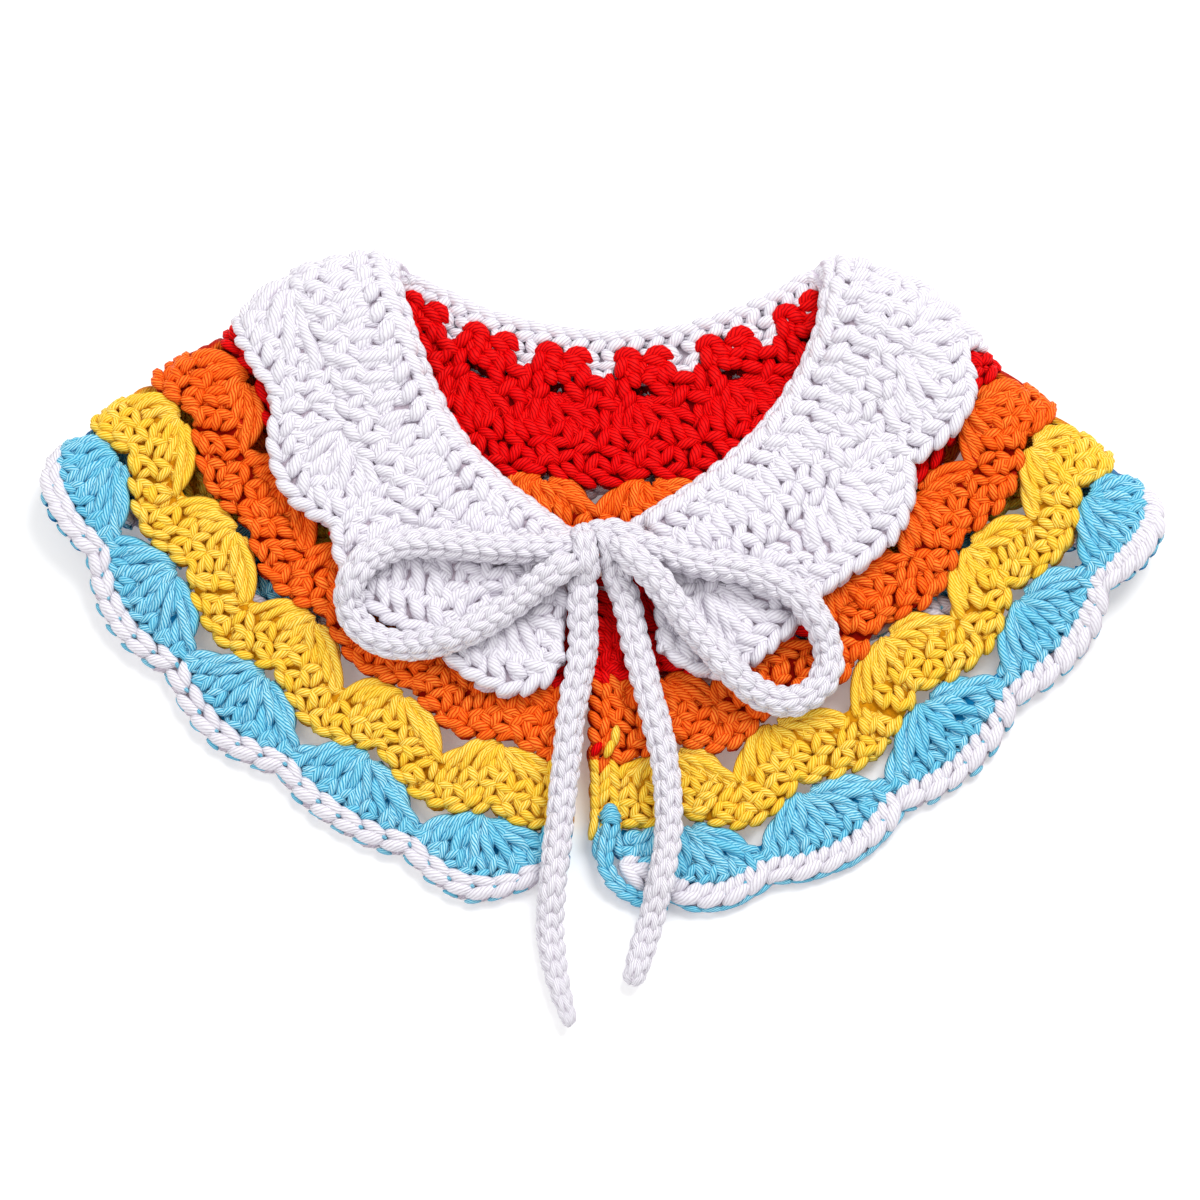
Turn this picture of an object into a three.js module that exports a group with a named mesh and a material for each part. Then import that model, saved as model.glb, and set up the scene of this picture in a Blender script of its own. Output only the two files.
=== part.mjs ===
import * as THREE from 'three';

// A crocheted capelet collar, lying on a table.
// It is a flat ring sector of eighteen shell stitches, worked in bands of colour from the neck
// outwards. It lies folded at both shoulders: the back panel is underneath with its inside up,
// and the two front panels lie on it and meet at the middle. A scalloped white collar is turned
// down over the outside, and a crocheted cord closes the neck with a bow.
// Millimetres, X to the right, Y from the hem towards the back of the neck, Z up from the table.
// The dimensions start at the centre front of the neck, on the table.

// Thickness of the work and of the cord, and the space between neighbouring pieces
const clothThickness = 4.4;
const collarThickness = 4.2;
const shellSwell = 0.8;
const rowGap = 0.55;
const cordDiameter = 7.4;

// Where the colours change, as a share of the way from the neck (0) to the hem (1).
// The valley is where a shell of the next colour starts, the scallop is halfway between shells.
const bandEdges = {
  neck: { valley: 0.048, scallop: 0.048 },
  white: { valley: 0.078, scallop: 0.078 },
  red: { valley: 0.400, scallop: 0.435 },
  orange: { valley: 0.585, scallop: 0.632 },
  yellow: { valley: 0.765, scallop: 0.822 },
  blue: { valley: 0.945, scallop: 0.925 },
  hem: { valley: 1.000, scallop: 0.976 },
};

// Openings between two colours: at the foot of each shell, and in the corner between two shells
const footHole = 1.5;
const cornerHole = 4.6;
const capeDepth = 97;

// The cape, section by section. fan counts the shells from the left front edge. neck, middle
// and hem are X, Y on the line of that section, height its Z at the depths of heightDepths.
const middleDepth = 0.59;
const heightDepths = [0, 0.53, 0.66, 0.82, 1];
const sections = [
  { fan: 0.3, neck: [-1.0, 0], middle: [-5, -47], hem: [-7, -83], height: [13.4, 9.6, 7.4, 3.8, 2.2] },
  { fan: 1, neck: [-10, 8.5], middle: [-22.5, -45], hem: [-32.5, -85], height: [13.6, 9.8, 7.6, 3.8, 2.2] },
  { fan: 2, neck: [-23, 19], middle: [-47, -32], hem: [-66, -66], height: [13.8, 10, 7.8, 3.8, 2.2] },
  { fan: 3, neck: [-33.5, 30.5], middle: [-68.5, -13], hem: [-97, -43.5], height: [14, 10.4, 8, 4.4, 2.4] },
  { fan: 4, neck: [-41.5, 44.5], middle: [-88, 10], hem: [-122, -14], height: [15.4, 12, 9.6, 7.6, 4] },
  { fan: 5, neck: [-47.8, 61.5], middle: [-102, 38], hem: [-136.8, 13.7], height: [19.4, 16.4, 14, 12.4, 11] },
  { fan: 5.25, neck: [-49.5, 67], middle: [-106, 44.6], hem: [-139.5, 19.3], height: [19.8, 16.4, 13.8, 12.2, 11] },
  { fan: 5.5, neck: [-50.5, 72], middle: [-107.8, 49.5], hem: [-138.8, 24], height: [18.2, 14.2, 11.6, 10, 8.9] },
  { fan: 5.75, neck: [-51.2, 76], middle: [-106, 50.6], hem: [-135.4, 25], height: [15.2, 10.4, 7, 5.8, 5] },
  { fan: 6, neck: [-50.2, 77.2], middle: [-101.6, 47], hem: [-129.3, 21.5], height: [12, 8.4, 4.6, 3.6, 3.2] },
  { fan: 6.5, neck: [-46.8, 76.9], middle: [-86, 35.5], hem: [-112, 6], height: [8.6, 8.4, 3.2, 2.8, 2.3] },
  { fan: 7, neck: [-41.2, 74], middle: [-70, 28], hem: [-92, -9], height: [7.8, 7.8, 2.9, 2.8, 2.3] },
  { fan: 8, neck: [-26.2, 67], middle: [-43, 15], hem: [-54, -23.5], height: [7.5, 7.5, 2.9, 2.8, 2.3] },
  { fan: 9, neck: [-9, 62.7], middle: [-15.5, 8.4], hem: [-19, -30.8], height: [7.5, 7.5, 2.9, 2.8, 2.3] },
  { fan: 10, neck: [9.3, 62], middle: [14, 7.6], hem: [17.5, -31], height: [7.5, 7.5, 2.9, 2.8, 2.3] },
  { fan: 11, neck: [28.7, 65.7], middle: [44.5, 14], hem: [54, -23.5], height: [7.5, 7.5, 2.9, 2.8, 2.3] },
  { fan: 12, neck: [46, 73.4], middle: [73, 27], hem: [93, -9], height: [7.8, 7.8, 2.9, 2.8, 2.3] },
  { fan: 12.5, neck: [52.7, 77.6], middle: [87.5, 34.2], hem: [113.5, 3], height: [8.6, 8.4, 3.2, 2.8, 2.3] },
  { fan: 13, neck: [55.4, 78], middle: [102, 40.6], hem: [130.3, 11.3], height: [12, 8.4, 4.6, 3.6, 3.2] },
  { fan: 13.25, neck: [56.2, 75.8], middle: [107.3, 43.1], hem: [136.8, 14.1], height: [15.2, 10.4, 7, 5.8, 5] },
  { fan: 13.5, neck: [56.5, 72], middle: [109.4, 41.6], hem: [140.1, 12.7], height: [18.2, 14.2, 11.6, 10, 8.9] },
  { fan: 13.75, neck: [56.2, 68], middle: [108.5, 37], hem: [140.3, 7.9], height: [19.8, 16.4, 13.8, 12.2, 11] },
  { fan: 14, neck: [55.6, 63.5], middle: [105.6, 31.6], hem: [137.1, 2.8], height: [19.4, 16.4, 14, 12.4, 11] },
  { fan: 15, neck: [50.3, 49.3], middle: [90.2, 6.7], hem: [119.5, -21.8], height: [15.4, 12, 9.6, 7.6, 4] },
  { fan: 16, neck: [40.5, 34.8], middle: [69.8, -16], hem: [92, -52.5], height: [14, 10.4, 8, 4.4, 2.4] },
  { fan: 17, neck: [26.5, 21.5], middle: [42, -39], hem: [61.5, -75.6], height: [13.8, 10, 7.8, 3.8, 2.2] },
  { fan: 18, neck: [10.8, 10.3], middle: [18, -46.3], hem: [25, -87.3], height: [13.6, 9.8, 7.6, 3.8, 2.2] },
  { fan: 18.7, neck: [1.2, 1.5], middle: [-2.4, -48], hem: [-1, -77.5], height: [13.4, 9.6, 7.4, 3.8, 2.2] },
];
const firstFan = sections[0].fan;
const lastFan = sections[sections.length - 1].fan;

// One column of the table at any fan, on a smooth curve through its rows
const fans = sections.map((row) => row.fan);
function smoothColumn(values, fan) {
  const last = fans.length - 1;
  const at = Math.min(Math.max(fan, fans[0]), fans[last]);
  let i = 0;
  while (i < last - 1 && at > fans[i + 1]) i += 1;
  const slope = (k) => (values[k + 1] - values[k]) / (fans[k + 1] - fans[k]);
  const tangent = (k) => {
    if (k === 0) return slope(0);
    if (k === last) return slope(last - 1);
    const before = fans[k] - fans[k - 1];
    const after = fans[k + 1] - fans[k];
    return (after * slope(k - 1) + before * slope(k)) / (before + after);
  };
  const span = fans[i + 1] - fans[i];
  const t = (at - fans[i]) / span;
  const rise = t * t * (3 - 2 * t);
  return (
    values[i] * (1 - rise) +
    values[i + 1] * rise +
    span * tangent(i) * t * (1 - t) ** 2 -
    span * tangent(i + 1) * t * t * (1 - t)
  );
}
const columnOf = (name, axis) => sections.map((row) => row[name][axis]);
const outline = ['neck', 'middle', 'hem'].map((name) => [columnOf(name, 0), columnOf(name, 1)]);
const heights = heightDepths.map((depth, k) => columnOf('height', k));

// Height of one section at a depth, eased over the kinks between the listed depths
const heightEase = 0.05;
function heightAt(fan, depth) {
  const levels = heights.map((column) => smoothColumn(column, fan));
  const straight = (at) => {
    const d = Math.min(Math.max(at, 0), 1);
    let k = 0;
    while (k < heightDepths.length - 2 && d > heightDepths[k + 1]) k += 1;
    const t = (d - heightDepths[k]) / (heightDepths[k + 1] - heightDepths[k]);
    return levels[k] + (levels[k + 1] - levels[k]) * t;
  };
  return (straight(depth - heightEase) + 2 * straight(depth) + straight(depth + heightEase)) / 4;
}

// Middle of the cloth at a fan and a depth, a parabola through neck, middle and hem
function clothPlace(fan, depth) {
  const share = [
    ((depth - middleDepth) * (depth - 1)) / middleDepth,
    (depth * (1 - depth)) / (middleDepth * (1 - middleDepth)),
    (depth * (depth - middleDepth)) / (1 - middleDepth),
  ];
  const axis = (k) =>
    outline.reduce((sum, columns, i) => sum + share[i] * smoothColumn(columns[k], fan), 0);
  return new THREE.Vector3(axis(0), axis(1), heightAt(fan, depth));
}

// Outward direction of a surface given as place(fan, row): up on the fronts, down on the back
function outwardAt(place, fan, row) {
  const fanStep = 0.05;
  const rowStep = 0.04;
  const along = place(fan + fanStep, row).sub(place(fan - fanStep, row));
  const down = place(fan, row + rowStep).sub(place(fan, row - rowStep));
  return along.cross(down).normalize();
}

// A closed wall of the given thickness around the surface place(fan, row)
function wall(place, outward, columns, rows, thickness) {
  const points = [];
  for (const side of [1, -1]) {
    for (const fan of columns) {
      for (const row of rows) {
        const out = outward(fan, row).multiplyScalar((side * thickness(fan, row)) / 2);
        points.push(place(fan, row).add(out));
      }
    }
  }
  const perColumn = rows.length;
  const perSide = columns.length * perColumn;
  const at = (side, i, j) => side * perSide + i * perColumn + j;
  const triangles = [];
  const quad = (a, b, c, d) => triangles.push(a, b, c, a, c, d);
  const lastColumn = columns.length - 1;
  const lastRow = rows.length - 1;
  for (let i = 0; i < lastColumn; i += 1) {
    for (let j = 0; j < lastRow; j += 1) {
      quad(at(0, i, j), at(0, i + 1, j), at(0, i + 1, j + 1), at(0, i, j + 1));
      quad(at(1, i, j), at(1, i, j + 1), at(1, i + 1, j + 1), at(1, i + 1, j));
    }
    quad(at(0, i, 0), at(1, i, 0), at(1, i + 1, 0), at(0, i + 1, 0));
    quad(at(0, i, lastRow), at(0, i + 1, lastRow), at(1, i + 1, lastRow), at(1, i, lastRow));
  }
  for (let j = 0; j < lastRow; j += 1) {
    quad(at(0, 0, j), at(0, 0, j + 1), at(1, 0, j + 1), at(1, 0, j));
    quad(at(0, lastColumn, j), at(1, lastColumn, j), at(1, lastColumn, j + 1), at(0, lastColumn, j + 1));
  }
  const geometry = new THREE.BufferGeometry();
  geometry.setFromPoints(points);
  geometry.setIndex(triangles);
  geometry.computeVertexNormals();
  return geometry;
}

const evenly = (from, to, steps) =>
  Array.from({ length: steps + 1 }, (unused, k) => from + ((to - from) * k) / steps);

// Cotton yarn in five colours
const yarnRoughness = 0.92;
const yarn = (colour) =>
  new THREE.MeshStandardMaterial({ color: colour, roughness: yarnRoughness, metalness: 0 });
const white = yarn('#f4f2f6');

// Moves the object's own middle to the origin
const neckFrontFromMiddle = [-0.57, 2.79, 0.04];
const cape = new THREE.Group();
function addPiece(name, geometry, material) {
  geometry.translate(...neckFrontFromMiddle);
  const piece = new THREE.Mesh(geometry, material);
  piece.name = name;
  cape.add(piece);
}

// Bands of the cape. A band ends in scallops between the shells of the next one, and the next
// one starts in shells, which leaves two openings a shell between them.
const frontSteps = 6;
const foldSteps = 12;
const backSteps = 4;
const awayFromShell = (fan) => Math.abs(Math.sin(Math.PI * fan));
function outerEdge(edge, fan) {
  return edge.valley + (edge.scallop - edge.valley) * awayFromShell(fan) ** 0.8;
}
function innerEdge(edge, fan) {
  const atFoot = (1 - awayFromShell(fan)) ** 4;
  const atCorner = awayFromShell(fan) ** 10;
  const opening = edge.scallop > edge.valley ? footHole * atFoot + cornerHole * atCorner : 0;
  return outerEdge(edge, fan) + (rowGap + opening) / capeDepth;
}
const shellColumns = [
  firstFan,
  ...evenly(0.5, 5, 4.5 * frontSteps),
  ...evenly(5, 6.5, 1.5 * foldSteps).slice(1),
  ...evenly(6.5, 12.5, 6 * backSteps).slice(1),
  ...evenly(12.5, 14, 1.5 * foldSteps).slice(1),
  ...evenly(14, 18.5, 4.5 * frontSteps).slice(1),
  lastFan,
];

function band(name, from, to, rowCount, swell, material) {
  const depthAt = (fan, row) => {
    const start = innerEdge(bandEdges[from], fan);
    return start + (outerEdge(bandEdges[to], fan) - start) * row;
  };
  const place = (fan, row) => clothPlace(fan, depthAt(fan, row));
  const outward = (fan, row) => outwardAt(clothPlace, fan, depthAt(fan, row));
  const swellAlong = (row) => swell * Math.sin(Math.PI * Math.min(Math.max(row, 0), 1));
  const thickness = (fan, row) => clothThickness + swellAlong(row) * (1 - awayFromShell(fan) ** 2);
  const rows = evenly(0, 1, rowCount);
  addPiece(name, wall(place, outward, shellColumns, rows, thickness), material);
}
band('neck_band', 'neck', 'white', 1, 0, white);
band('red_band', 'white', 'red', 3, shellSwell, yarn('#e4000f'));
band('orange_band', 'red', 'orange', 2, shellSwell, yarn('#fa5a05'));
band('yellow_band', 'orange', 'yellow', 2, shellSwell, yarn('#fbc42c'));
band('blue_band', 'yellow', 'blue', 2, shellSwell, yarn('#63c6e8'));
band('hem_edging', 'blue', 'hem', 1, 0, white);

// Turned-down collar: it rolls over the neck edge and lies on the outside of the cape.
// notches are the fans where two scallops of its edge meet, its ends at the centre front.
const collarNotches = [0.62, 1.85, 3.48, 5.0, 6.5, 8.1, 9.65, 11.2, 12.8, 14.62, 16.15, 17.95];
const collarNotchDepth = 0.41;
const collarScallopDepth = 0.485;
const collarFoldDepth = 0.43;
const collarEndDepth = 0.37;
const scallopFullness = 0.7;
const scallopSteps = 6;
const foldScallops = [3, 8];
const foldScallopSteps = 18;
const seatGap = 0.7;
const collarSeat = (clothThickness + collarThickness) / 2 + seatGap + shellSwell / 2;
// The roll over the neck edge: depth on the cape and distance outwards from its middle
const neckRoll = [
  { depth: 0.02, out: -1.2 },
  { depth: 0.016, out: 2.4 },
  { depth: 0.042, out: 4.9 },
  { depth: 0.085, out: collarSeat },
];
function collarEdge(fan) {
  let k = 0;
  while (k < collarNotches.length - 2 && fan > collarNotches[k + 1]) k += 1;
  const t = (fan - collarNotches[k]) / (collarNotches[k + 1] - collarNotches[k]);
  const lastNotch = collarNotches.length - 1;
  const notchAt = (index) => (index === 0 || index === lastNotch ? collarEndDepth : collarNotchDepth);
  const notch = notchAt(k) + (notchAt(k + 1) - notchAt(k)) * t;
  const arch = Math.max(Math.sin(Math.PI * Math.min(Math.max(t, 0), 1)), 0) ** scallopFullness;
  const fullest = foldScallops.includes(k) ? collarFoldDepth : collarScallopDepth;
  return notch + (fullest - notch) * arch;
}
const flatRows = 3;
function collarPlace(fan, row) {
  const lastRoll = neckRoll.length - 1;
  const rollShare = Math.min(Math.max(row, 0), lastRoll);
  const k = Math.min(Math.floor(rollShare), lastRoll - 1);
  const t = row < lastRoll ? row - k : 1;
  let depth = neckRoll[k].depth + (neckRoll[k + 1].depth - neckRoll[k].depth) * t;
  const out = neckRoll[k].out + (neckRoll[k + 1].out - neckRoll[k].out) * t;
  if (row > lastRoll) depth += ((collarEdge(fan) - depth) * (row - lastRoll)) / flatRows;
  const outward = outwardAt(clothPlace, fan, Math.max(depth, 0.05));
  return clothPlace(fan, depth).add(outward.multiplyScalar(out));
}
const collarColumns = collarNotches.slice(0, -1).flatMap((notch, k) => {
  const steps = foldScallops.includes(k) ? foldScallopSteps : scallopSteps;
  return evenly(notch, collarNotches[k + 1], steps).slice(k === 0 ? 0 : 1);
});
const collarRows = evenly(0, neckRoll.length - 1 + flatRows, neckRoll.length - 1 + flatRows);
const collarOutward = (fan, row) => outwardAt(collarPlace, fan, row);
const collarWall = wall(collarPlace, collarOutward, collarColumns, collarRows, () => collarThickness);
addPiece('turned_collar', collarWall, white);

// Bow knot, a lump of wound cord over the two ends of the neck edge
const knotCentre = [-1.4, -2.2, 25];
const knotSize = [15.2, 14.8, 10.8];
const knot = new THREE.SphereGeometry(0.5, 12, 8);
knot.scale(...knotSize).translate(...knotCentre);
addPiece('bow_knot', knot, white);

// Crocheted tie cord: two loops that lie on the collar, and two tails that run down the middle
// of the front, over the hem and onto the table. Each route is the middle line of the cord.
const leftLoop = [
  [-9.6, -1.2, 24.6],
  [-18.8, -1.2, 24.4],
  [-28, -0.9, 24.1],
  [-37.8, 0.2, 23.7],
  [-44.5, 0.5, 23.4],
  [-50.5, -0.1, 23.1],
  [-55.8, -2.2, 22.7],
  [-59.6, -5.4, 22.8],
  [-61.8, -9.2, 21.5],
  [-62.2, -13, 17.8],
  [-60.8, -16.8, 16.4],
  [-57.8, -20.3, 16],
  [-53.2, -22.9, 16.2],
  [-47.8, -24, 16.9],
  [-42.5, -24, 18.6],
  [-37.5, -23.8, 21.2],
  [-32, -21.9, 22.8],
  [-26.2, -18.8, 23.3],
  [-20.5, -14.7, 24.4],
  [-14.8, -10.8, 26.6],
  [-9.2, -7.8, 29],
];
const rightLoop = [
  [6.9, -0.8, 24.6],
  [13.5, -1.3, 24.4],
  [20, -3.7, 24.3],
  [26.3, -5.2, 24],
  [32.5, -5.9, 23.7],
  [38.8, -7.4, 23.4],
  [45, -10.2, 22.9],
  [50, -14, 23],
  [53.8, -18.6, 20.6],
  [56.2, -23.6, 16.6],
  [56.8, -28.2, 15.5],
  [55, -33, 15],
  [51.3, -36.6, 15],
  [46.5, -38.2, 15.3],
  [41.5, -37.6, 16.4],
  [36.3, -35.2, 19.4],
  [31.5, -31.4, 22.4],
  [26.5, -25.3, 22.7],
  [22, -20.2, 23.5],
  [17.5, -14.6, 25.2],
  [13.2, -9.6, 27.6],
  [9, -6.6, 29.6],
];
const leftTail = [
  [-4.3, -10.3, 22.4],
  [-4.5, -14.2, 21.4],
  [-4.3, -18.5, 19.8],
  [-4.1, -23.4, 18.4],
  [-4.7, -28.6, 17.4],
  [-5.7, -33.9, 16.6],
  [-6.8, -39.5, 15.9],
  [-7.6, -45.3, 15.1],
  [-8.2, -51.3, 14],
  [-8.8, -57.4, 12.7],
  [-9.4, -63.9, 11.3],
  [-10.2, -70.6, 10.1],
  [-11, -77.5, 9.2],
  [-11.8, -84.6, 7.9],
  [-12.3, -90.6, 4.9],
  [-12, -97.2, 3.8],
  [-11, -103.8, 3.8],
  [-9.5, -110.5, 3.8],
  [-8, -115.8, 3.8],
  [-7.3, -119.5, 3.8],
];
const rightTail = [
  [4.4, -8.4, 21.6],
  [6, -11.8, 20.4],
  [7.3, -16.6, 19.3],
  [8.3, -21.6, 18.4],
  [9.5, -26.9, 17.6],
  [11, -32.8, 17],
  [12.5, -38.5, 16.4],
  [14, -44.5, 15.5],
  [15.5, -50.5, 14.4],
  [16.5, -56.7, 13.3],
  [17, -62.8, 12],
  [17, -69.3, 10.7],
  [16.3, -75.9, 9.8],
  [15, -82.5, 8.9],
  [13.5, -88.4, 5.8],
  [11.5, -94.8, 3.8],
  [9.8, -101, 3.8],
  [8.3, -106.3, 3.8],
  [7.6, -109, 3.8],
];
const cordSides = 8;
const cordStep = 6.5;
function cord(name, route) {
  const line = new THREE.CatmullRomCurve3(route.map((point) => new THREE.Vector3(...point)));
  const corner = (k) => new THREE.Vector2(
    (cordDiameter / 2) * Math.cos((2 * Math.PI * k) / cordSides),
    (cordDiameter / 2) * Math.sin((2 * Math.PI * k) / cordSides),
  );
  const section = new THREE.Shape(Array.from({ length: cordSides }, (unused, k) => corner(k)));
  const steps = Math.round(line.getLength() / cordStep);
  addPiece(name, new THREE.ExtrudeGeometry(section, { steps, extrudePath: line }), white);
}
cord('left_loop', leftLoop);
cord('right_loop', rightLoop);
cord('left_tail', leftTail);
cord('right_tail', rightTail);

export default cape;
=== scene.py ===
import math
from collections import namedtuple

import bpy
import numpy as np
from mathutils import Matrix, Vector


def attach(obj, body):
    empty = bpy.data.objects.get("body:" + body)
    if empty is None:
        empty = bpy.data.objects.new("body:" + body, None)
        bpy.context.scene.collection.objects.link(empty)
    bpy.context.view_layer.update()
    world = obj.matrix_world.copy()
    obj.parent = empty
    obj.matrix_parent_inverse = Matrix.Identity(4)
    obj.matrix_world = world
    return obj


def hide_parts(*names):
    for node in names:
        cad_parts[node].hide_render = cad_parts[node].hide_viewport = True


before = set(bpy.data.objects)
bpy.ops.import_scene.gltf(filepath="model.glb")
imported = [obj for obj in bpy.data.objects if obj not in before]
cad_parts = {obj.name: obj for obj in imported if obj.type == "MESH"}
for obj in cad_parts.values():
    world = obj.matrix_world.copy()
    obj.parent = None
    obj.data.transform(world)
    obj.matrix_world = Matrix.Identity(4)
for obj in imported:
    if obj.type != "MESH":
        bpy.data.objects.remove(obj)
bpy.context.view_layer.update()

# Table, light and camera.
# The cape lies on a plain white table, seen from the front and well above, through a long lens.
MM = 0.001
PHOTO_WIDTH = 0.300
VIEW_HEIGHT = 70
VIEW_DISTANCE = 2.4
VIEW_CENTRE = Vector((-0.00057, -0.00306, 0))
SENSOR_WIDTH = 36
TABLE_REACH = 3


def placed(name, data):
    thing = bpy.data.objects.new(name, data)
    bpy.context.collection.objects.link(thing)
    return thing


def set_inputs(node, **values):
    """Sets a node's own sockets, with _ for each space in their names."""
    for name, value in values.items():
        node.inputs[name.replace("_", " ")].default_value = value


def new_finish(name):
    finish = bpy.data.materials.new(name)
    finish.use_nodes = True
    return finish, finish.node_tree.nodes, finish.node_tree.links, finish.node_tree.nodes["Principled BSDF"]


table_mesh = bpy.data.meshes.new("table")
table_corners = [(x * TABLE_REACH, y * TABLE_REACH, 0) for x, y in ((-1, -1), (1, -1), (1, 1), (-1, 1))]
table_mesh.from_pydata(table_corners, [], [(0, 1, 2, 3)])
table = placed("table", table_mesh)
table_white, _, _, table_shader = new_finish("table_white")
# A little light comes through the table, so its shadows stay pale
set_inputs(table_shader, Base_Color=(0.93, 0.93, 0.93, 1), Roughness=0.9, Emission_Color=(1, 1, 1, 1),
           Emission_Strength=0.18)
table_mesh.materials.append(table_white)


def soft_light(name, place, size, watts):
    lamp = bpy.data.lights.new(name, "AREA")
    lamp.shape = "DISK"
    lamp.size = size
    lamp.energy = watts
    light = placed(name, lamp)
    light.location = place
    light.rotation_euler = (-Vector(place)).to_track_quat("-Z", "Y").to_euler()


soft_light("window", (0.5, 0.62, 1.25), 0.9, 15)
soft_light("fill", (-0.9, -0.5, 1.2), 1.2, 6)
world = bpy.data.worlds.new("room")
world.use_nodes = True
set_inputs(world.node_tree.nodes["Background"], Color=(1, 1, 1, 1), Strength=0.62)
bpy.context.scene.world = world
bpy.context.scene.view_settings.view_transform = "Standard"

camera_data = bpy.data.cameras.new("camera")
camera_data.sensor_width = SENSOR_WIDTH
camera_data.lens = SENSOR_WIDTH * VIEW_DISTANCE / PHOTO_WIDTH
camera = placed("camera", camera_data)
slant = math.radians(VIEW_HEIGHT)
towards_camera = Vector((0, -math.cos(slant), math.sin(slant)))
camera.location = VIEW_CENTRE + VIEW_DISTANCE * towards_camera
camera.rotation_euler = (-towards_camera).to_track_quat("-Z", "Y").to_euler()
bpy.context.scene.camera = camera

# The folded cape.
# A flat ring sector of eighteen shells of crochet, folded at both shoulders: the back is
# underneath with its inside up, and the two fronts lie on it. Every stitch is placed on it.

# Millimetres, from where the two front edges meet at the neck. A fan is a place along the row of
# shells, and a depth is how far down it is: 0 at the neck, 1 at the hem.
SECTIONS = (
    # fan, then x and y at the neck, in the middle and at the hem
    (0.3, -1.0, 0, -5.3, -47, -8.8, -83), (1, -10, 8.5, -22.5, -45, -32.5, -85),
    (2, -23, 19, -47, -32, -66, -66), (3, -33.5, 30.5, -68.5, -13, -97, -43.5),
    (4, -41.5, 44.5, -88, 10, -122, -14), (5, -47.8, 61.5, -102, 38, -136.8, 13.7),
    (5.25, -49.5, 67, -106, 44.6, -139.5, 19.3), (5.5, -50.5, 72, -107.8, 49.5, -138.8, 24),
    (5.75, -51.2, 76, -106, 50.6, -135.4, 25), (6, -50.2, 77.2, -101.6, 47, -129.3, 21.5),
    (6.5, -46.8, 76.9, -86, 35.5, -112, 6), (7, -41.2, 74, -70, 28, -92, -9),
    (8, -26.2, 67, -43, 15, -54, -23.5), (9, -9, 62.7, -15.5, 8.4, -19, -30.8),
    (10, 9.3, 62, 14, 7.6, 17.5, -31), (11, 28.7, 65.7, 44.5, 14, 54, -23.5),
    (12, 46, 73.4, 73, 27, 93, -9), (12.5, 52.7, 77.6, 87.5, 34.2, 113.5, 3),
    (13, 55.4, 78, 102, 40.6, 130.3, 11.3), (13.25, 56.2, 75.8, 107.3, 43.1, 136.8, 14.1),
    (13.5, 56.5, 72, 109.4, 41.6, 140.1, 12.7), (13.75, 56.2, 68, 108.5, 37, 140.3, 7.9),
    (14, 55.6, 63.5, 105.6, 31.6, 137.1, 2.8), (15, 50.3, 49.3, 90.2, 6.7, 119.5, -21.8),
    (16, 40.5, 34.8, 69.8, -16, 92, -52.5), (17, 26.5, 21.5, 42, -39, 61.5, -75.6),
    (18, 10.8, 10.3, 18, -46.3, 25, -87.3), (18.7, 1.2, 1.5, -2.4, -48, -1, -77.5),
)
HEIGHT_DEPTHS = (0, 0.53, 0.66, 0.82, 1)
HEIGHT_EASE = 0.05
# The heights at these depths, for the first half of the sections. The second half mirrors them.
HEIGHTS = (
    (13.4, 9.6, 7.4, 3.8, 2.2), (13.6, 9.8, 7.6, 3.8, 2.2), (13.8, 10, 7.8, 3.8, 2.2),
    (14, 10.4, 8, 4.4, 2.4), (15.4, 12, 9.6, 7.6, 4), (19.4, 16.4, 14, 12.4, 11),
    (19.8, 16.4, 13.8, 12.2, 11), (18.2, 14.2, 11.6, 10, 8.9), (15.2, 10.4, 7, 5.8, 5),
    (12, 8.4, 4.6, 3.6, 3.2), (8.6, 8.4, 3.2, 2.8, 2.3), (7.8, 7.8, 2.9, 2.8, 2.3),
    (7.5, 7.5, 2.9, 2.8, 2.3), (7.5, 7.5, 2.9, 2.8, 2.3),
)
section_table = np.array(SECTIONS)
section_heights = np.array(HEIGHTS + HEIGHTS[::-1])
FANS = section_table[:, 0]
FIRST_FAN, LAST_FAN = FANS[0], FANS[-1]
MIDDLE_DEPTH = 0.59
CAPE_DEPTH = 97


def smooth(knots, values, at):
    """A smooth curve through values at the knots, straight on beyond them."""
    beyond = at - np.clip(at, knots[0], knots[-1])
    at = at - beyond
    i = np.clip(np.searchsorted(knots, at, side="left") - 1, 0, len(knots) - 2)
    spans = np.diff(knots)
    slopes = np.diff(values) / spans
    tangents = np.empty(len(knots))
    tangents[0], tangents[-1] = slopes[0], slopes[-1]
    tangents[1:-1] = (spans[1:] * slopes[:-1] + spans[:-1] * slopes[1:]) / (spans[1:] + spans[:-1])
    t = (at - knots[i]) / spans[i]
    rise = t * t * (3 - 2 * t)
    start = values[i] * (1 - rise) + spans[i] * tangents[i] * t * (1 - t) ** 2
    end = values[i + 1] * rise - spans[i] * tangents[i + 1] * t * t * (1 - t)
    return start + end + beyond * np.where(beyond < 0, slopes[0], slopes[-1])


def unit(vectors):
    return vectors / np.maximum(np.linalg.norm(vectors, axis=-1, keepdims=True), 1e-9)


def facing(place, along, down, step_along, step_down):
    """The way a surface faces, from its places a step to either side."""
    return unit(np.cross(
        place(along + step_along, down) - place(along - step_along, down),
        place(along, down + step_down) - place(along, down - step_down),
    ))


def cape_height(fan, depth):
    levels = [smooth(FANS, heights, fan) for heights in section_heights.T]

    def straight(at):
        at = np.clip(at, 0, 1)
        height = np.zeros_like(at)
        for k in range(4):
            low, high = HEIGHT_DEPTHS[k:k + 2]
            share = (at - low) / (high - low)
            inside = (at >= low) & (at <= high)
            height = np.where(inside, levels[k] + (levels[k + 1] - levels[k]) * share, height)
        return height

    return (straight(depth - HEIGHT_EASE) + 2 * straight(depth) + straight(depth + HEIGHT_EASE)) / 4


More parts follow.
